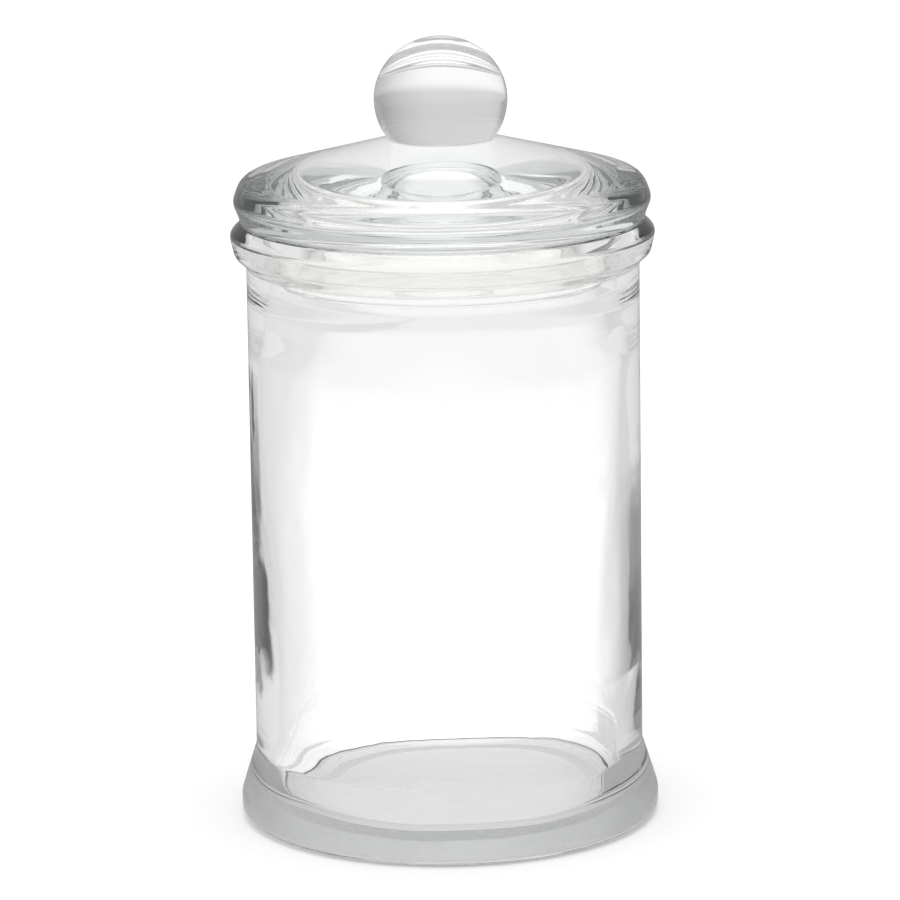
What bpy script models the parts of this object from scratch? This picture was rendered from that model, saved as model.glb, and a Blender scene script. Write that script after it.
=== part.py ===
# Specimen jar: a heavy pressed-glass jar with a bead round its mouth and a
# flared foot, a domed glass lid with a solid ball knob, and a clear ribbed
# ring round the lid's plug, inside the mouth.
#
# Metres, +Z up; the dimensions below are millimetres. The origin is the centre
# of the foot, on the plane it stands on. Every piece is turned round Z.

import math

import bpy

MM = 0.001
SEGMENTS = 60            # round each turned piece; 6 degrees a step

# ---------------------------------------------------------------- dimensions
# jar: outside
FOOT_R = 50.6            # widest part of the foot
FOOT_SHOULDER_Z = 5.4    # where the foot stops being upright
HEEL_R = 3.2             # rounding of the foot's bottom outer edge
FLARE_TOP_Z = 17.2       # where the flare runs into the wall
BODY_R = 46.85           # straight wall, outside
BEAD_R = 50.7            # upper corner of the bead, before rounding
BEAD_TOP_Z = 142.9
BEAD_LOW_R = 49.65
BEAD_LOW_Z = 138.0
BEAD_ROOT_Z = 135.6      # where the bead's underside meets the wall
RIM_Z = 145.6            # flat ring under the lid's flange
RIM_OUT_R = 47.9
# jar: inside
WALL = 4.2
BODY_IN_R = BODY_R - WALL
BODY_TOP_Z = 126.5       # where the body's bore starts to narrow
MOUTH_R = 41.3           # bore of the mouth
MOUTH_END_Z = 131.0      # lower end of the mouth's bore
FLOOR_MID_Z = 6.9        # floor at the centre
FLOOR_EDGE_Z = 5.7       # floor at the edge of its crown
FLOOR_CORNER_Z = FLOOR_EDGE_Z + 0.1    # floor at the wall, before rounding
FLOOR_FILLET = 8.0
FLOOR_CROWN_R = BODY_IN_R - FLOOR_FILLET - 0.6
# jar: underside
STAND_IN_R = 39.5        # inner edge of the flat ring it stands on
PUNT_R = 34.5            # edge of the raised middle
PUNT_Z = 1.7
PUNT_MID_Z = 2.4

# lid: outside
KNOB_R = 15.85           # ball knob, its top a little flattened
KNOB_UP = 14.85          # from its centre to its top
KNOB_DOWN = 15.5         # half height of the ball its lower part follows
KNOB_Z = 174.4           # centre of the ball
NECK_R = 12.7
NECK_Z = 165.05          # foot of the knob, top of the dome
KNOB_END_R = NECK_R + 0.35             # where the ball stops, above the neck
LID_SHOULDER_R = 47.9    # corner over the rounded edge
LID_SHOULDER_Z = 155.7
LID_EDGE_R = 49.85       # widest part of the edge, before rounding
LID_EDGE_Z = 150.7
LID_FOOT_R = 48.1        # outer corner of the flange's flat underside
GAP = 0.35               # room between the lid's flange and the rim
FLANGE_Z = RIM_Z + GAP
# lid: plug
PLUG_TOP_R = 38.6        # outside of the plug, tapering down
PLUG_LOW_R = 38.2
PLUG_END_Z = 131.4
PLUG_IN_LOW_R = 34.2     # inside of the plug
PLUG_IN_TOP_R = 33.0
CEILING_EDGE_Z = 148.6   # ceiling at the plug's wall
CEILING_R = 28.0         # edge of the ceiling's shallow dome
CEILING_OUT_Z = 149.0
CEILING_MID_Z = 150.2

# seal ring
SEAL_IN_R = 38.95
SEAL_OUT_R = 39.85
SEAL_TOP_Z = 144.9
SEAL_LOW_Z = 135.0
BEVEL_ACROSS = 0.25      # bevels on the band's two inner edges
BEVEL_HEIGHT = 0.4
RIBS = 4
RIB_R = 40.95            # tip of each rib, inside the mouth's bore
RIB_ROOT = 1.1           # thickness at the band
RIB_TIP = 0.45           # thickness at the tip
RIB_INSET = 0.4          # bare band above the first rib and below the last
RIB_PITCH = (SEAL_TOP_Z - SEAL_LOW_Z - RIB_ROOT - 2 * RIB_INSET) / (RIBS - 1)


# ------------------------------------------------------------ profile helpers
def rounded(corners):
    """(r, z) points along a run of corners, each (r, z, radius, steps).

    The two ends stay as they are. Every other corner becomes an arc that
    touches both sides, made smaller where a side is too short for it."""
    points = [corners[0][:2]]
    for before, corner, after in zip(corners, corners[1:], corners[2:]):
        r, z, radius, steps = corner

        # unit directions from the corner along its two sides
        in_r, in_z = before[0] - r, before[1] - z
        out_r, out_z = after[0] - r, after[1] - z
        in_length = math.hypot(in_r, in_z)
        out_length = math.hypot(out_r, out_z)
        in_r, in_z = in_r / in_length, in_z / in_length
        out_r, out_z = out_r / out_length, out_z / out_length

        half = math.acos(in_r * out_r + in_z * out_z) / 2
        # from the corner to each end of the arc
        back = min(radius / math.tan(half), 0.49 * in_length, 0.49 * out_length)
        size = back * math.tan(half)

        # the arc's centre lies on the line that halves the corner
        mid_r, mid_z = in_r + out_r, in_z + out_z
        reach = size / math.sin(half) / math.hypot(mid_r, mid_z)
        centre_r = r + mid_r * reach
        centre_z = z + mid_z * reach

        start = math.atan2(z + in_z * back - centre_z, r + in_r * back - centre_r)
        end = math.atan2(z + out_z * back - centre_z, r + out_r * back - centre_r)
        turn = (end - start + math.pi) % (2 * math.pi) - math.pi    # the short way
        for k in range(steps + 1):
            angle = start + turn * k / steps
            points.append((centre_r + size * math.cos(angle),
                           centre_z + size * math.sin(angle)))
    points.append(corners[-1][:2])
    return points


def ball(radius, rise, fall, centre_z, stop_r, steps):
    """Points down the outside of a ball, from its top to where it narrows to stop_r."""
    start = math.pi / 2
    end = -math.acos(stop_r / radius)
    points = [(0.0, centre_z + rise)]
    for k in range(1, steps + 1):
        angle = start + (end - start) * k / steps
        half_height = rise if angle > 0 else fall
        points.append((radius * math.cos(angle), centre_z + half_height * math.sin(angle)))
    return points


def crown(radius, mid_z, edge_z, steps):
    """Points outward along a shallow dome level on the axis, without its edge."""
    return [(radius * k / steps, mid_z + (edge_z - mid_z) * (k / steps) ** 2)
            for k in range(steps)]


# ------------------------------------------------------------ Blender helpers
def material(name, colour, roughness, transmission, ior):
    made = bpy.data.materials.new(name)
    made.use_nodes = True
    shader = made.node_tree.nodes["Principled BSDF"]
    shader.inputs["Base Color"].default_value = (*colour, 1.0)
    shader.inputs["Metallic"].default_value = 0.0
    shader.inputs["Roughness"].default_value = roughness
    shader.inputs["Transmission Weight"].default_value = transmission
    shader.inputs["IOR"].default_value = ior
    return made


def clear_glass(name):
    return material(name, colour=(0.93, 0.96, 0.95), roughness=0.02,
                    transmission=1.0, ior=1.52)


def clear_plastic(name):
    return material(name, colour=(0.94, 0.94, 0.90), roughness=0.25,
                    transmission=0.85, ior=1.50)


def turned(name, profile, collection, surface, closed=False):
    """A piece made by turning a profile of (r, z) millimetres round Z."""
    count = len(profile)
    edges = [(i, i + 1) for i in range(count - 1)]
    if closed:
        edges.append((count - 1, 0))
    mesh = bpy.data.meshes.new(name)
    mesh.from_pydata([(r * MM, 0.0, z * MM) for r, z in profile], edges, [])
    mesh.materials.append(surface)
    made = bpy.data.objects.new(name, mesh)
    collection.objects.link(made)

    screw = made.modifiers.new("Turn", "SCREW")
    screw.axis = "Z"
    screw.angle = 2 * math.pi
    screw.screw_offset = 0.0
    screw.steps = SEGMENTS
    screw.render_steps = SEGMENTS
    screw.use_merge_vertices = True
    screw.merge_threshold = 1e-6
    screw.use_smooth_shade = True


# -------------------------------------------------------------------- pieces
def jar_profile():
    """Floor, up the inside, over the rim, down the outside, the underside."""
    return crown(FLOOR_CROWN_R, FLOOR_MID_Z, FLOOR_EDGE_Z, steps=3) + rounded([
        # r, z, corner radius, steps
        (FLOOR_CROWN_R, FLOOR_EDGE_Z, 0, 0),
        (BODY_IN_R, FLOOR_CORNER_Z, FLOOR_FILLET, 6),
        (BODY_IN_R, BODY_TOP_Z, 9.0, 2),
        (MOUTH_R, MOUTH_END_Z, 5.0, 2),
        (MOUTH_R, RIM_Z, 1.0, 3),
        (RIM_OUT_R, RIM_Z, 0.7, 2),
        (BEAD_R, BEAD_TOP_Z, 1.9, 4),
        (BEAD_LOW_R, BEAD_LOW_Z, 2.2, 3),
        (BODY_R, BEAD_ROOT_Z, 1.6, 3),
        (BODY_R, FLARE_TOP_Z, 5.0, 3),
        (FOOT_R, FOOT_SHOULDER_Z, 6.0, 3),
        (FOOT_R, 0.0, HEEL_R, 5),
        (STAND_IN_R, 0.0, 1.5, 2),
        (PUNT_R, PUNT_Z, 3.0, 2),
        (0.0, PUNT_MID_Z, 0, 0),
    ])


def lid_profile():
    """Ball knob, dome, rounded edge, flange, plug, the ceiling inside it."""
    *knob, knob_end = ball(KNOB_R, KNOB_UP, KNOB_DOWN, KNOB_Z, KNOB_END_R, steps=14)
    shell = rounded([
        # r, z, corner radius, steps
        (*knob_end, 0, 0),
        (NECK_R, NECK_Z, 0.8, 2),
        (LID_SHOULDER_R, LID_SHOULDER_Z, 4.4, 4),
        (LID_EDGE_R, LID_EDGE_Z, 3.6, 4),
        (LID_FOOT_R, FLANGE_Z, 1.2, 3),
        (PLUG_TOP_R, FLANGE_Z, 0.8, 2),
        (PLUG_LOW_R, PLUG_END_Z, 1.3, 3),
        (PLUG_IN_LOW_R, PLUG_END_Z, 1.3, 3),
        (PLUG_IN_TOP_R, CEILING_EDGE_Z, 1.6, 4),
        (CEILING_R, CEILING_OUT_Z, 0, 0),
    ])
    ceiling = crown(CEILING_R, CEILING_MID_Z, CEILING_OUT_Z, steps=4)
    return knob + shell + ceiling[::-1]


def seal_profile():
    """Closed section of a thin ribbed band: down the outside, up the inside."""
    bevel_r = SEAL_IN_R + BEVEL_ACROSS
    points = [(bevel_r, SEAL_TOP_Z), (SEAL_OUT_R, SEAL_TOP_Z)]
    for k in range(RIBS):
        rib_z = SEAL_TOP_Z - RIB_INSET - RIB_ROOT / 2 - RIB_PITCH * k
        points += [
            (SEAL_OUT_R, rib_z + RIB_ROOT / 2),
            (RIB_R, rib_z + RIB_TIP / 2),
            (RIB_R, rib_z - RIB_TIP / 2),
            (SEAL_OUT_R, rib_z - RIB_ROOT / 2),
        ]
    return points + [
        (SEAL_OUT_R, SEAL_LOW_Z),
        (bevel_r, SEAL_LOW_Z),
        (SEAL_IN_R, SEAL_LOW_Z + BEVEL_HEIGHT),
        (SEAL_IN_R, SEAL_TOP_Z - BEVEL_HEIGHT),
    ]


# --------------------------------------------------------------------- model
for old in list(bpy.data.objects):
    bpy.data.objects.remove(old, do_unlink=True)

jar_parts = bpy.data.collections.new("specimen_jar")
bpy.context.scene.collection.children.link(jar_parts)

turned("jar_body", jar_profile(), jar_parts, clear_glass("clear_glass"))
turned("lid", lid_profile(), jar_parts, clear_glass("lid_glass"))
turned("seal_ring", seal_profile(), jar_parts, clear_plastic("clear_plastic"), closed=True)
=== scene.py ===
import cmath
import math

import bmesh
import bpy
from mathutils import Matrix, Vector, noise


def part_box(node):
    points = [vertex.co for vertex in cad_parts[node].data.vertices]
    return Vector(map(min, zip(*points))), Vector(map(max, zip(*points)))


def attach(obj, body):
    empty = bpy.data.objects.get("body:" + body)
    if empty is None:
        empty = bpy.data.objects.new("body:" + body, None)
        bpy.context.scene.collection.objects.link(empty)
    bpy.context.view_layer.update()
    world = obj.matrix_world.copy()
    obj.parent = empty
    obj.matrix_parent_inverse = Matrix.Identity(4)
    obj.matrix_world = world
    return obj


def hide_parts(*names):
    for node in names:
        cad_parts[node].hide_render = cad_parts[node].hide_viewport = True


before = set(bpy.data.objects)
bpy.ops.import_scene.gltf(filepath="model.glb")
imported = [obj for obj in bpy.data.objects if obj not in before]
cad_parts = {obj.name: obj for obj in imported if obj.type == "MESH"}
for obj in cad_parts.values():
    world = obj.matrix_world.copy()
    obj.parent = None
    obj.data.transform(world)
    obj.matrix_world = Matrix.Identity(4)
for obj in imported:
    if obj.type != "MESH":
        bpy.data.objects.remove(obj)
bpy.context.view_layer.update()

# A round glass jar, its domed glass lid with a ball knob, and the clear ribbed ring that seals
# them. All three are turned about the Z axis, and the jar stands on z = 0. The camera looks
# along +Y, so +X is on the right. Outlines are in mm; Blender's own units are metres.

MM = 0.001
SEGMENTS = 240

jar_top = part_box("jar_body")[1]
RIM = jar_top.z / MM                    # height of the jar's rim
FOOT = jar_top.x / MM                   # radius of the jar's foot
KNOB_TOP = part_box("lid")[1].z / MM
FLANGE = RIM + 0.35                     # height of the lid's flat underside


# ------------------------------------------------------------------ profiles
def rounded(corners, step=0.35):
    """(r, z) points along corners (r, z, radius), with arcs in steps of about step mm."""
    points = []
    places = [complex(r, z) for r, z, _ in corners]      # the plane of the profile as r + zj
    for i, (r, z, radius) in enumerate(corners):
        if i in (0, len(corners) - 1) or radius <= 0:
            points.append((r, z))
            continue
        before, after = places[i - 1] - places[i], places[i + 1] - places[i]
        shortest = min(abs(before), abs(after))
        before /= abs(before)
        after /= abs(after)
        cosine = (before * after.conjugate()).real
        half = math.acos(max(-1.0, min(1.0, cosine))) / 2
        # an arc may take up just under half of either side
        back = min(radius / math.tan(half), 0.49 * shortest)
        size = back * math.tan(half)
        middle = before + after
        centre = places[i] + middle / abs(middle) * size / math.sin(half)
        start = cmath.phase(places[i] + before * back - centre)
        end = cmath.phase(places[i] + after * back - centre)
        turn = (end - start + math.pi) % (2 * math.pi) - math.pi
        count = max(4, math.ceil(abs(turn) * size / step))
        for k in range(count + 1):
            point = centre + cmath.rect(size, start + turn * k / count)
            points.append((point.real, point.imag))
    return points


def filled(points, most):
    """The same run of points with no gap longer than most mm."""
    out = [points[0]]
    for (r0, z0), (r1, z1) in zip(points, points[1:]):
        count = max(1, math.ceil(math.hypot(r1 - r0, z1 - z0) / most))
        for k in range(1, count + 1):
            out.append((r0 + (r1 - r0) * k / count, z0 + (z1 - z0) * k / count))
    return out


def crown(radius, middle, edge, steps=14):
    """Points outwards from height middle on the axis, where the curve is level, to height edge."""
    return [(radius * k / steps, middle + (edge - middle) * (k / steps) ** 2)
            for k in range(steps + 1)]


def joined(regions):
    """One profile of (region, r, z) from a dict of runs, without repeated points."""
    profile = []
    for region, run in regions.items():
        for r, z in run:
            if profile and math.hypot(profile[-1][1] - r, profile[-1][2] - z) < 1e-4:
                continue
            profile.append((region, r, z))
    return profile


def still(region, r, z, angle):
    return 0.0, 0.0


def lathe(name, profile, wobble=still):
    """A closed body turned from (region, r, z) points.

    wobble(region, r, z, angle) gives the (dr, dz) by which each vertex is moved.
    """
    verts, faces, first = [], [], []
    axial = [r < 1e-6 for _, r, _ in profile]
    for (region, r, z), single in zip(profile, axial):
        first.append(len(verts))
        for s in range(1 if single else SEGMENTS):
            angle = 2 * math.pi * s / SEGMENTS
            dr, dz = wobble(region, r, z, angle)
            verts.append(((r + dr) * math.cos(angle) * MM,
                          (r + dr) * math.sin(angle) * MM,
                          (z + dz) * MM))
    pairs = [(i, i + 1) for i in range(len(profile) - 1)]
    if not axial[0]:
        pairs.append((len(profile) - 1, 0))
    for i, j in pairs:
        for s in range(SEGMENTS):
            t = (s + 1) % SEGMENTS
            if axial[i]:
                faces.append((first[i], first[j] + s, first[j] + t))
            elif axial[j]:
                faces.append((first[i] + s, first[j], first[i] + t))
            else:
                faces.append((first[i] + s, first[j] + s, first[j] + t, first[i] + t))
    mesh = bpy.data.meshes.new(name)
    mesh.from_pydata(verts, [], faces)
    mesh.validate()
    work = bmesh.new()
    work.from_mesh(mesh)
    bmesh.ops.recalc_face_normals(work, faces=work.faces)
    work.to_mesh(mesh)
    work.free()
    mesh.polygons.foreach_set("use_smooth", [True] * len(mesh.polygons))
    return add_object(name, mesh)


def add_object(name, data):
    made = bpy.data.objects.new(name, data)
    bpy.context.scene.collection.objects.link(made)
    return made


def noise_at(x, y, z, seed):
    return noise.noise(Vector((x + seed * 17.13, y - seed * 9.71, z + seed * 4.37)))


def ramp(x, lo, hi):
    """0 below lo, 1 above hi, smooth between."""
    t = min(1.0, max(0.0, (x - lo) / (hi - lo)))
    return t * t * (3 - 2 * t)


# ------------------------------------------------------------------ jar
WALL_IN, WALL_OUT = 42.65, 46.85        # nominal radii of the wall
NECK_BORE = 41.3

# points where one run of the outline hands over to the next (r, z)
NECK = (NECK_BORE, RIM - 1.2)
BEAD = (50.2, 140.6)
STAND = (45.0, 0.0)
FLOOR_EDGE = (34.05, 5.7)
FLOOR_MIDDLE = 6.9

# corners of the outline: r, z, rounding radius
JAR_INSIDE = [(*FLOOR_EDGE, 0), (WALL_IN, 5.8, 8.0), (WALL_IN, 126.5, 9.0),
              (NECK_BORE, 131.0, 5.0), (*NECK, 0)]
JAR_RIM = [(*NECK, 0), (NECK_BORE, RIM, 1.0), (47.9, RIM, 0.8), (50.7, 142.9, 1.9), (*BEAD, 0)]
JAR_OUTSIDE = [(*BEAD, 0), (49.65, 138.0, 2.2), (WALL_OUT, 135.6, 1.6), (WALL_OUT, 17.2, 5.0),
               (FOOT, 5.4, 6.0), (FOOT, 0.0, 3.2), (*STAND, 0)]
JAR_UNDERSIDE = [(*STAND, 0), (39.5, 0.0, 1.5), (34.5, 1.7, 3.0), (30.0, 1.84, 0)]
UNDERSIDE_MIDDLE = [(20.0, 2.06), (10.0, 2.26), (0.0, 2.4)]       # r, z


def jar_wobble(region, r, z, angle):
    x, y = math.cos(angle), math.sin(angle)
    if region == "inside":
        wall = ramp(z, 9.0, 22.0) * (1 - ramp(z, 112.0, 124.0))
        streak = (0.08 * noise_at(x * 2.2, y * 2.2, z / 70.0, seed=1)
                  + 0.03 * noise_at(x * 5.0, y * 5.0, z / 26.0, seed=2))
        # the wall is uneven: on -X it thickens slowly downwards, on +X it is thin all the way
        left = ramp(-x, 0.0, 1.0) * (-1.0 + 2.3 * ramp(z, 20.0, 88.0))
        right = ramp(x, 0.0, 1.0) * 1.25 * ramp(z, 12.0, 40.0)
        # the corner of the floor is a little lumpy
        corner = ramp(r, 28.0, 38.0) * (1.0 - ramp(z, 12.0, 24.0))
        lump = 0.6 * noise_at(x * 1.7, y * 1.7, 0.7, seed=11) * corner
        # and so is the floor itself
        swell = (0.60 * noise_at(x * r / 24.0, y * r / 24.0, 0.3, seed=3)
                 + 0.10 * noise_at(x * r / 9.0, y * r / 9.0, 0.9, seed=4))
        return (streak + left + right) * wall + lump, swell * (1.0 - ramp(z, 8.0, 16.0))
    if region == "outside":
        return -abs(0.035 * noise_at(x * 6.0, y * 6.0, z / 14.0, seed=5)), 0.0
    if region == "underside" and r < 38.0:
        swell = 0.22 * noise_at(x * r / 12.0, y * r / 12.0, 2.2, seed=6)
        return 0.0, swell * ramp(38.0 - r, 0.0, 5.0)
    return 0.0, 0.0


inside = crown(FLOOR_EDGE[0], middle=FLOOR_MIDDLE, edge=FLOOR_EDGE[1])[:-1] + rounded(JAR_INSIDE)
underside = rounded(JAR_UNDERSIDE)[1:] + UNDERSIDE_MIDDLE
jar = lathe("jar_glass", joined({
    "inside": filled(inside, 1.6),
    "rim": filled(rounded(JAR_RIM, 0.2)[1:], 1.0),
    "outside": filled(rounded(JAR_OUTSIDE, 0.3)[1:], 1.6),
    "underside": filled(underside, 1.6),
}), jar_wobble)

# ------------------------------------------------------------------ lid
KNOB_RADIUS = 15.85
KNOB_CENTRE = 174.4                     # height of its widest place
KNOB_RISE = KNOB_TOP - KNOB_CENTRE      # the ball's upper half-height
KNOB_DROP = 15.5                        # and its lower one, were the ball whole
KNOB_NECK = 13.05                       # radius where the ball meets the dome
KNOB_STEPS = 64

knob = []
knob_end = -math.acos(KNOB_NECK / KNOB_RADIUS)
for k in range(KNOB_STEPS + 1):
    angle = math.pi / 2 + (knob_end - math.pi / 2) * k / KNOB_STEPS
    height = KNOB_RISE if angle > 0 else KNOB_DROP
    knob.append((KNOB_RADIUS * math.cos(angle), KNOB_CENTRE + height * math.sin(angle)))

LID_EDGE = (48.8, 148.2)                # r, z where the top hands over to the lower side
VAULT_EDGE = (28.0, 149.0)              # r, z where the hollow's ceiling starts
VAULT_MIDDLE = 150.2
PLUG_BOTTOM = 131.4

# corners of the outline: r, z, rounding radius
LID_TOP = [(*knob[-1], 0), (12.7, 165.05, 0.8), (47.9, 155.7, 4.4), (49.85, 150.7, 3.6),
           (*LID_EDGE, 0)]
LID_LOW = [(*LID_EDGE, 0), (48.1, FLANGE, 1.2), (38.6, FLANGE, 0.8), (38.2, PLUG_BOTTOM, 1.3),
           (34.2, PLUG_BOTTOM, 1.3), (33.0, 148.6, 1.6), (*VAULT_EDGE, 0)]


def lid_wobble(region, r, z, angle):
    x, y = math.cos(angle), math.sin(angle)
    if region == "top":
        # shallow dips near the edge, towards -X and +X
        dip = abs(0.10 * noise_at(x * r / 5.0, y * r / 5.0, z / 4.0, seed=7))
        return 0.0, -dip * ramp(r, 37.0, 44.0) * ramp(abs(x), 0.70, 0.90)
    if region == "low" and r > 38.9:
        # the flange is roughest towards -X and +X
        size = 0.03 + 0.14 * ramp(abs(x), 0.6, 0.85)
        rise = size * abs(noise_at(x * r / 5.0, y * r / 5.0, z / 6.0, seed=8))
        return 0.0, rise * ramp(r, 39.0, 41.0) * (1 - ramp(r, 46.5, 48.0))
    if region == "low":
        return -0.03 * abs(noise_at(x * 5.0, y * 5.0, z / 9.0, seed=9)), 0.0
    if region == "vault":
        return 0.0, 0.06 * noise_at(x * r / 10.0, y * r / 10.0, 3.1, seed=10)
    return 0.0, 0.0


lid = lathe("lid_glass", joined({
    "knob": knob,
    "top": filled(rounded(LID_TOP, 0.2), 1.2)[1:],
    "low": filled(rounded(LID_LOW, 0.25)[1:], 1.2),
    "vault": crown(VAULT_EDGE[0], middle=VAULT_MIDDLE, edge=VAULT_EDGE[1])[-2::-1],
}), lid_wobble)

# ------------------------------------------------------------------ seal ring
SEAL_TOP, SEAL_BOTTOM = 144.9, 135.0
SEAL_BORE, SEAL_OUT, RIB_OUT = 38.95, 39.85, 40.95      # radii
RIBS = 4
RIB_ROOT, RIB_TIP = 0.55, 0.225         # half a rib's height at its root and its tip
RIB_MARGIN = 0.4                        # from the ring's ends to the first and last ribs
RIB_PITCH = (SEAL_TOP - SEAL_BOTTOM - 2 * (RIB_MARGIN + RIB_ROOT)) / (RIBS - 1)

corners = [(SEAL_BORE, 143.0, 0), (SEAL_BORE, SEAL_TOP, 0.25), (SEAL_OUT, SEAL_TOP, 0.2)]
for k in range(RIBS):
    rib = SEAL_TOP - RIB_MARGIN - RIB_ROOT - RIB_PITCH * k
    corners += [(SEAL_OUT, rib + RIB_ROOT, 0.15), (RIB_OUT, rib + RIB_TIP, 0.16),
                (RIB_OUT, rib - RIB_TIP, 0.16), (SEAL_OUT, rib - RIB_ROOT, 0.15)]
corners += [(SEAL_OUT, SEAL_BOTTOM, 0.2), (SEAL_BORE, SEAL_BOTTOM, 0.25), (SEAL_BORE, 137.0, 0)]
seal = lathe("seal_plastic", [("ring", r, z) for r, z in rounded(corners, 0.12)])

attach(jar, "jar")
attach(lid, "lid")
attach(seal, "seal")
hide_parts("jar_body")
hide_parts("lid")
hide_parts("seal_ring")


# ------------------------------------------------------------------ shader arithmetic
class Graph:
    """Writes shader nodes. An input is given a plain value or another node's output."""

    def __init__(self, tree):
        self.tree = tree

    def fill(self, node, inputs):
        for key, value in inputs.items():
            if isinstance(value, bpy.types.NodeSocket):
                self.tree.links.new(value, node.inputs[key])
            else:
                node.inputs[key].default_value = value
        return node

    def node(self, kind, inputs=None, **settings):
        made = self.tree.nodes.new("ShaderNode" + kind)
        for name, value in settings.items():
            setattr(made, name, value)
        return self.fill(made, inputs or {})

    def math(self, operation, *values):
        return self.node("Math", dict(enumerate(values)), operation=operation).outputs[0]

    def product(self, first, *rest):
        second = rest[0] if len(rest) == 1 else self.product(*rest)
        return self.math("MULTIPLY", first, second)

    def length(self, x, y):
        squares = self.math("ADD", self.product(x, x), self.product(y, y))
        return self.math("SQRT", squares)

    def bearing(self, right, forward):
        """Degrees to the right of straight ahead."""
        return self.product(self.math("ARCTAN2", right, forward), 180 / math.pi)

    def elevation(self, up):
        """Degrees above level."""
        return self.product(self.math("ARCSINE", up), 180 / math.pi)

    def split(self, vector):
        return self.node("SeparateXYZ", {0: vector}).outputs

    def rise(self, x, zero, one):
        """0 at zero, 1 at one, smooth between; zero may be the larger."""
        return self.node("MapRange", {
            "Value": x,
            "From Min": min(zero, one),
            "From Max": max(zero, one),
            "To Min": 0.0 if zero < one else 1.0,
            "To Max": 1.0 if zero < one else 0.0,
        }, interpolation_type="SMOOTHSTEP").outputs["Result"]

    def band(self, x, a, b, c, d):
        """0 below a, 1 from b to c, 0 above d."""
        return self.product(self.rise(x, a, b), self.rise(x, d, c))

    def mix(self, mask, off, on):
        """off where mask is 0, on where it is 1."""
        return self.node("Mix", {0: mask, 2: off, 3: on}, data_type="FLOAT").outputs[0]

    def fade(self, x, start, end, before, after):
        """before up to x = start, after from x = end on; end may be the smaller."""
        return self.mix(self.rise(x, start, end), before, after)

    def layered(self, strength, *layers):
        """strength with each (mask, strength) laid over it in turn."""
        for mask, over in layers:
            strength = self.mix(mask, strength, over)
        return strength

    def in_heading(self, vector):
        """Forward, rightward and upward parts of a vector, in the camera's level heading."""
        axis = self.node("VectorTransform", {0: (0, 0, 1)}, vector_type="VECTOR",
                         convert_from="CAMERA", convert_to="WORLD")
        axis_x, axis_y, _ = self.split(axis.outputs[0])
        length = self.length(axis_x, axis_y)
        axis_x = self.math("DIVIDE", axis_x, length)
        axis_y = self.math("DIVIDE", axis_y, length)
        x, y, z = self.split(vector)
        forward = self.math("ADD", self.product(x, axis_x), self.product(y, axis_y))
        right = self.math("SUBTRACT", self.product(x, axis_y), self.product(y, axis_x))
        return forward, right, z


class Ray:
    """Masks for what a ray has been through, from counts of its passes and reflections."""

    def __init__(self, graph):
        self.path = graph.node("LightPath").outputs
        self.passes = self.path["Transmission Depth"]
        self.mirrors = self.path["Glossy Depth"]
        self.outer = graph.rise(self.passes, 0.8, 0.2)      # mirrored by the outer surface
        self.deep = graph.rise(self.passes, 3.2, 3.8)       # through a whole wall, or more
        self.deeper = graph.rise(self.passes, 4.8, 5.2)     # through the lid as well
        self.bounced = graph.math("MINIMUM", self.mirrors, 1.0)     # reflected somewhere inside
        # what is left of light led round and round inside the glass
        self.trapped = graph.fade(self.mirrors, 12.2, 12.8, 1.0, 0.25)


def new_material(name, body, clear=True):
    """A material in the next slot of body, and its graph."""
    made = bpy.data.materials.new(name)
    made.use_nodes = True
    if clear:
        made.node_tree.nodes.clear()
    body.data.materials.append(made)
    return made, Graph(made.node_tree)


# ------------------------------------------------------------------ materials
# absorption inside the glass
JAR_TINT = dict(density=2.0, tint=(0.80, 0.93, 0.90))
LID_TINT = dict(density=2.4, tint=(0.82, 0.92, 0.90))
# noise scale, and the span of noise that is mapped to a span of roughness
POLISHED = dict(scale=60.0, span=(0.55, 0.8), roughness=(0.0, 0.035))
MATT = dict(scale=900.0, span=(0.3, 0.8), roughness=(0.42, 0.62))


def glass(name, body, density, tint, scale, span, roughness):
    """Pressed glass: faint broad ripples, and roughness that varies with a noise."""
    _, g = new_material(name, body)
    place = g.node("TexCoord").outputs["Object"]
    wave = g.node("TexNoise", {"Scale": 95.0, "Detail": 1.5, "Vector": place})
    bump = g.node("Bump", {"Strength": 0.10, "Distance": 0.0004, "Height": wave.outputs["Fac"]})
    smear = g.node("TexNoise", {"Scale": scale, "Detail": 4.0, "Vector": place})
    rough = g.node("MapRange", {
        "Value": smear.outputs["Fac"],
        "From Min": span[0],
        "From Max": span[1],
        "To Min": roughness[0],
        "To Max": roughness[1],
    })
    surface = g.node("BsdfPrincipled", {
        "Base Color": (1, 1, 1, 1),
        "Transmission Weight": 1.0,
        "IOR": 1.52,
        "Normal": bump.outputs["Normal"],
        "Roughness": rough.outputs["Result"],
    })
    volume = g.node("VolumeAbsorption", {"Color": (*tint, 1), "Density": density})
    g.node("OutputMaterial", {"Surface": surface.outputs[0], "Volume": volume.outputs[0]})


def seal_plastic():
    """Clear soft plastic, mostly see-through, with a thin share of refraction."""
    _, g = new_material("plastic_seal", seal, clear=False)
    place = g.node("TexCoord").outputs["Object"]
    wave = g.node("TexNoise", {"Scale": 180.0, "Vector": place})
    rough = g.node("MapRange", {"Value": wave.outputs["Fac"], "To Min": 0.04, "To Max": 0.16})
    plastic = g.fill(g.tree.nodes["Principled BSDF"], {
        "Base Color": (0.985, 0.985, 0.97, 1),
        "Transmission Weight": 1.0,
        "IOR": 1.40,
        "Roughness": rough.outputs["Result"],
    })
    clear = g.node("BsdfTransparent", {"Color": (0.995, 0.995, 0.985, 1)})
    blend = g.node("MixShader", {0: 0.14, 1: clear.outputs[0], 2: plastic.outputs[0]})
    g.fill(g.tree.nodes["Material Output"], {"Surface": blend.outputs[0]})


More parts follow.
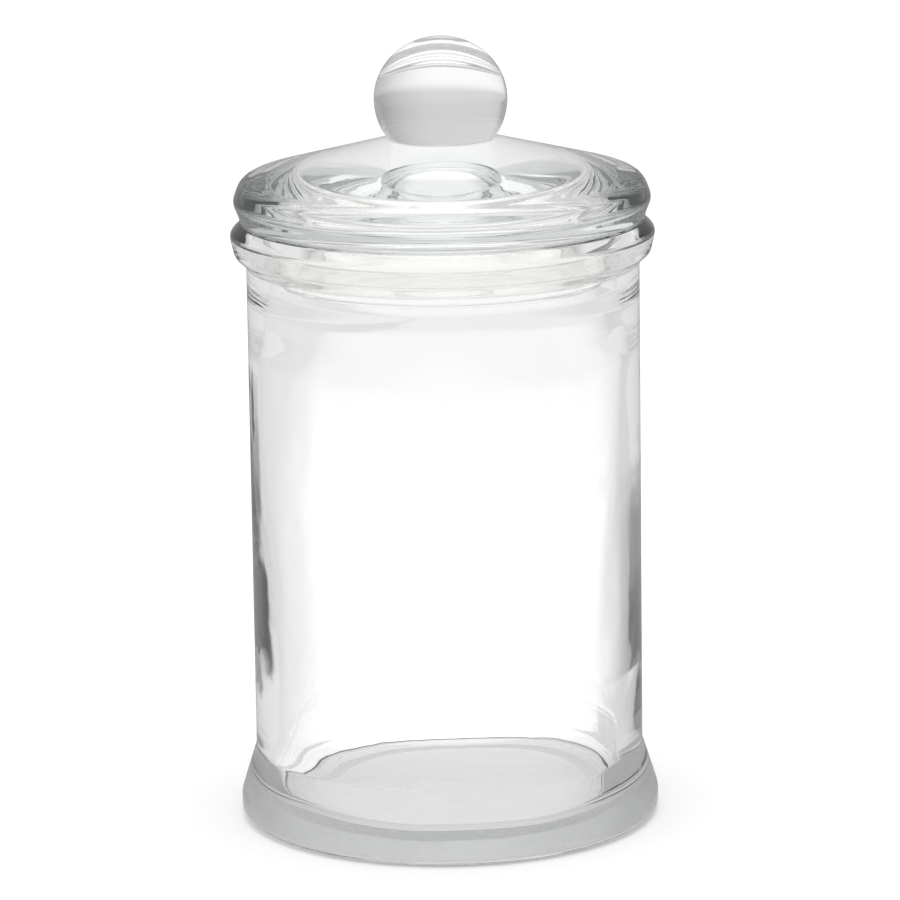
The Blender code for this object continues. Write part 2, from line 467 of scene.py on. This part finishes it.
glass("glass_jar", jar, **JAR_TINT, **POLISHED)
glass("glass_jar_underside", jar, **JAR_TINT, **MATT)
UNDERSIDE_TOP, UNDERSIDE_RADIUS = 2.9 * MM, 46.2 * MM       # limits of the matt underside
for face in jar.data.polygons:
    x, y, z = face.center
    if z < UNDERSIDE_TOP and math.hypot(x, y) < UNDERSIDE_RADIUS:
        face.material_index = 1
glass("glass_lid", lid, **LID_TINT, **POLISHED)
seal_plastic()

# ------------------------------------------------------------------ floor
HALF = 6.0                              # half the floor's side, m
floor_mesh = bpy.data.meshes.new("floor")
floor_mesh.from_pydata(
    [(-HALF, -HALF, 0), (HALF, -HALF, 0), (HALF, HALF, 0), (-HALF, HALF, 0)], [], [(0, 1, 2, 3)])
floor = add_object("floor", floor_mesh)
floor.location = (0, 0, -0.00005)
floor.visible_transmission = False
floor.visible_glossy = False
_, white = new_material("floor_white", floor, clear=False)
white.fill(white.tree.nodes["Principled BSDF"], {
    "Base Color": (0.9, 0.9, 0.9, 1),
    "Roughness": 1.0,
    "Specular IOR Level": 0.0,
})


# ------------------------------------------------------------------ world
def light_room():
    """The room the glass sees: brightest behind the jar, darkest beside the camera."""
    world = bpy.data.worlds.new("studio")
    bpy.context.scene.world = world
    world.use_nodes = True
    world.node_tree.nodes.clear()
    g = Graph(world.node_tree)
    ray = Ray(g)
    forward, right, up = g.in_heading(g.node("TexCoord").outputs["Generated"])
    bearing = g.bearing(right, forward)         # + right, 0 behind the jar
    aside = g.math("ABSOLUTE", bearing)
    height = g.elevation(up)

    room = g.layered(
        # behind the jar, through one thickness of glass
        g.mix(ray.bounced, g.fade(bearing, 0.0, 60.0, 0.66, 0.36),
              g.fade(aside, 16.0, 36.0, 0.90, 0.75)),
        # the same through a whole wall, and through the lid
        (ray.deep, g.mix(ray.bounced, g.fade(height, 2.0, 12.0, 0.93, 0.80), 0.62)),
        (ray.deeper, g.mix(ray.bounced, 1.02, 1.22)),
        # beside the jar
        (g.rise(aside, 48.0, 62.0), g.mix(ray.deeper, 0.45, 0.80)),
        # on the camera's side
        (g.rise(aside, 85.0, 120.0),
         g.mix(ray.deeper, g.fade(height, 10.0, 40.0, 0.22, 0.34), 0.80)),
        (ray.outer, 0.38),
        # overhead diffuser
        (g.rise(height, 50.0, 60.0), g.mix(ray.outer, 1.15, 0.45)),
    )
    room = g.layered(
        g.product(room, ray.trapped),
        (ray.path["Is Diffuse Ray"], 1.5),      # the light on the floor
        (ray.path["Is Camera Ray"], 1.0),       # the backdrop
    )
    sky = g.node("Background", {"Strength": room, "Color": (1, 1, 1, 1)})
    g.node("OutputWorld", {"Surface": sky.outputs[0]})


light_room()


# ------------------------------------------------------------------ cards only the glass sees
def add_card(name, mesh, z=0.0):
    card = add_object(name, mesh)
    card.location = (0, 0, z)
    card.visible_camera = False
    card.visible_diffuse = False
    card.visible_shadow = False
    mat, g = new_material(name, card)
    mat.cycles.emission_sampling = "NONE"
    return g


def near_table(g, ray, ahead, reach, bearing, steep, veer):
    """The table through one thickness of glass."""
    plain = g.layered(
        g.fade(ahead, 440.0, 800.0, 1.04, 0.72),
        (g.rise(ahead, 800.0, 2000.0), 0.67),
    )
    plain = g.product(plain, g.fade(veer, 0.0, 60.0, 1.0, 0.60))
    plain = g.fade(bearing, -66.0, -80.0, plain, 0.50)

    # after a turn inside the glass: two patches of painted shade on the table beside the jar, seen
    # only in the glass
    aside = g.math("ABSOLUTE", bearing)
    level = g.rise(steep, 42.0, 32.0)           # not seen from above, through the lid
    on_left = g.product(level, g.rise(bearing, -2.0, -8.0))
    on_right = g.product(level, g.rise(bearing, 2.0, 8.0))
    # bearing of a slanting edge: 0.21 degrees more for each mm beyond 150
    slant = g.math("ADD", aside, g.product(g.math("SUBTRACT", reach, 150.0), 0.21))
    inner = g.layered(
        g.fade(aside, 4.0, 12.0, 0.98, 0.84),
        (g.rise(aside, 80.0, 95.0), 0.50),
        # the left patch of painted shade: its far part, then its near part
        (g.product(on_left, g.band(reach, 190.0, 215.0, 400.0, 600.0),
                   g.rise(aside, 39.0, 32.0)), 0.35),
        (g.product(on_left, g.band(reach, 118.0, 127.0, 170.0, 205.0),
                   g.rise(slant, 55.0, 49.0), g.rise(steep, 13.0, 18.0)), 0.06),
        # the right patch of painted shade
        (g.product(on_right, g.band(reach, 134.0, 146.0, 310.0, 420.0)),
         g.fade(reach, 190.0, 290.0, 0.12, 0.28)),
    )
    return g.mix(ray.bounced, plain, inner)


def far_table(g, ray, ahead, across, steep, veer):
    """The table through the whole jar."""
    plain = g.layered(
        g.fade(ahead, 330.0, 600.0, 1.15, 1.01),
        (g.rise(ahead, 600.0, 2500.0), 0.93),
        # greyer to the left
        (g.rise(across, -42.0, -66.0), 0.93),
        (g.rise(across, -62.0, -94.0), 0.82),
        # and where the ray is bent to the right, or far to either side
        (g.rise(veer, 4.5, 8.5), 0.90),
        (g.rise(veer, 8.0, 14.0), 0.66),
        (g.rise(g.math("ABSOLUTE", veer), 35.0, 55.0), 0.62),
    )
    return g.mix(ray.bounced, plain, g.fade(steep, 34.0, 38.0, 0.62, 1.10))


def under_jar(g, ray, ahead, across, reach):
    """The table right under the jar."""
    centre = g.fade(ahead, 39.0, 44.0, g.fade(ahead, 12.0, 38.0, 0.80, 1.00), 1.40)
    guided = g.rise(ray.mirrors, 5.0, 7.0)      # led down inside the wall
    sides = g.fade(g.math("ABSOLUTE", across), 20.0, 32.0, 0.70, 0.15)
    ring = g.mix(guided, 0.70, sides)
    many = g.product(g.rise(ray.mirrors, 1.2, 1.8), g.rise(reach, 51.0, 47.0))
    # (start, end) across and the dimming there, on the right and on the left
    for start, end, dim in ((24.0, 36.0, 0.75), (-32.0, -42.0, 0.50)):
        ring = g.product(ring, g.mix(g.product(many, g.rise(across, start, end)), 1.0, dim))
    return g.fade(ray.passes, 2.8, 3.2, ring, centre)


def paint_table_light():
    """The table as the glass sees it, painted as light on a glowing card: a painted pool of light
    under and behind the jar, greyer further off.
    """
    mesh = floor_mesh.copy()
    mesh.materials.clear()
    g = add_card("table_card", mesh, z=-0.0001)
    ray = Ray(g)
    geometry = g.node("NewGeometry").outputs
    forward, right, _ = g.in_heading(geometry["Position"])
    ahead, across = g.product(forward, 1000.0), g.product(right, 1000.0)    # mm
    reach = g.length(ahead, across)
    bearing = g.bearing(across, ahead)
    # how steeply the table is looked at, and how far to the right
    steep = g.elevation(g.split(geometry["Incoming"])[2])
    back, left, _ = g.in_heading(geometry["Incoming"])
    veer = g.bearing(g.product(left, -1.0), g.product(back, -1.0))

    lidded = g.fade(steep, 38.0, 44.0, g.mix(ray.bounced, 1.05, 1.25), 1.45)
    steep_near = g.product(ray.deeper, g.rise(steep, 64.0, 69.0), g.rise(ahead, 80.0, 74.0))
    table = g.layered(
        near_table(g, ray, ahead, reach, bearing, steep, veer),
        (ray.deep, far_table(g, ray, ahead, across, steep, veer)),
        (ray.deeper, lidded),
        (steep_near, 0.35),
        (g.rise(ray.passes, 7.2, 7.8), 0.50),
        # in front of the jar
        (g.rise(ahead, -60.0, -140.0), g.mix(ray.deeper, 0.42, 1.10)),
        (ray.outer, 0.38),
        (g.rise(reach, 62.0, 46.0), under_jar(g, ray, ahead, across, reach)),
    )
    glow = g.node("Emission", {"Strength": g.product(table, ray.trapped)})
    g.node("OutputMaterial", {"Surface": glow.outputs[0]})


def darken_foot():
    """A low dark band round the foot: painted shade on a card.

    Only rays that run round inside the foot and come out upwards see it.
    """
    sides, radius, bottom, top = 96, 0.078, 0.0005, 0.075
    verts = []
    for z in (bottom, top):
        for k in range(sides):
            angle = 2 * math.pi * k / sides
            verts.append((radius * math.cos(angle), radius * math.sin(angle), z))
    faces = [(k, (k + 1) % sides, (k + 1) % sides + sides, k + sides) for k in range(sides)]
    mesh = bpy.data.meshes.new("foot_card")
    mesh.from_pydata(verts, [], faces)
    g = add_card("foot_card", mesh)
    path = g.node("LightPath").outputs
    incoming = g.split(g.node("NewGeometry").outputs["Incoming"])
    inside_foot = g.product(g.band(path["Transmission Depth"], 0.8, 1.2, 2.8, 3.2),
                            g.math("MINIMUM", path["Glossy Depth"], 1.0))
    seen = g.product(inside_foot, g.rise(incoming[2], 0.0, -0.07))
    through = g.node("BsdfTransparent")
    dark = g.node("Emission", {"Strength": 0.02})
    blend = g.node("MixShader", {0: seen, 1: through.outputs[0], 2: dark.outputs[0]})
    g.node("OutputMaterial", {"Surface": blend.outputs[0]})


paint_table_light()
darken_foot()

# ------------------------------------------------------------------ camera
ELEVATION = math.radians(13.07)         # of the camera, seen from the pivot
DISTANCE = 1.2863                       # from the pivot, m
PIVOT_HEIGHT = 0.0852                   # on the Z axis, m
AIM_UP = 0.00291370938                  # radians the view is turned up from the pivot
AIM_RIGHT = 0.00085917071               # and to the right
ROLL = math.radians(-0.80)

cam_data = bpy.data.cameras.new("camera")
cam = add_object("camera", cam_data)
cam_data.sensor_width = 36.0
cam_data.lens = 214.16
cam_data.clip_start, cam_data.clip_end = 0.05, 50.0
cam.location = (0.0, -DISTANCE * math.cos(ELEVATION),
                PIVOT_HEIGHT + DISTANCE * math.sin(ELEVATION))
down = ELEVATION - AIM_UP
look = Vector((math.sin(AIM_RIGHT) * math.cos(down),
               math.cos(AIM_RIGHT) * math.cos(down),
               -math.sin(down)))
facing = look.to_track_quat("-Z", "Y").to_matrix()
cam.rotation_mode = "QUATERNION"
cam.rotation_quaternion = (facing @ Matrix.Rotation(ROLL, 3, "Z")).to_quaternion()

# ------------------------------------------------------------------ render
scene = bpy.context.scene
scene.camera = cam
scene.view_settings.view_transform = "Standard"
scene.view_settings.look = "None"
scene.view_settings.exposure = 0.0
scene.view_settings.gamma = 1.0
scene.cycles.max_bounces = 48
scene.cycles.transmission_bounces = 28
scene.cycles.glossy_bounces = 28
scene.cycles.diffuse_bounces = 3
scene.cycles.caustics_reflective = True
scene.cycles.caustics_refractive = True
scene.cycles.blur_glossy = 0.0
scene.cycles.sample_clamp_indirect = 12.0
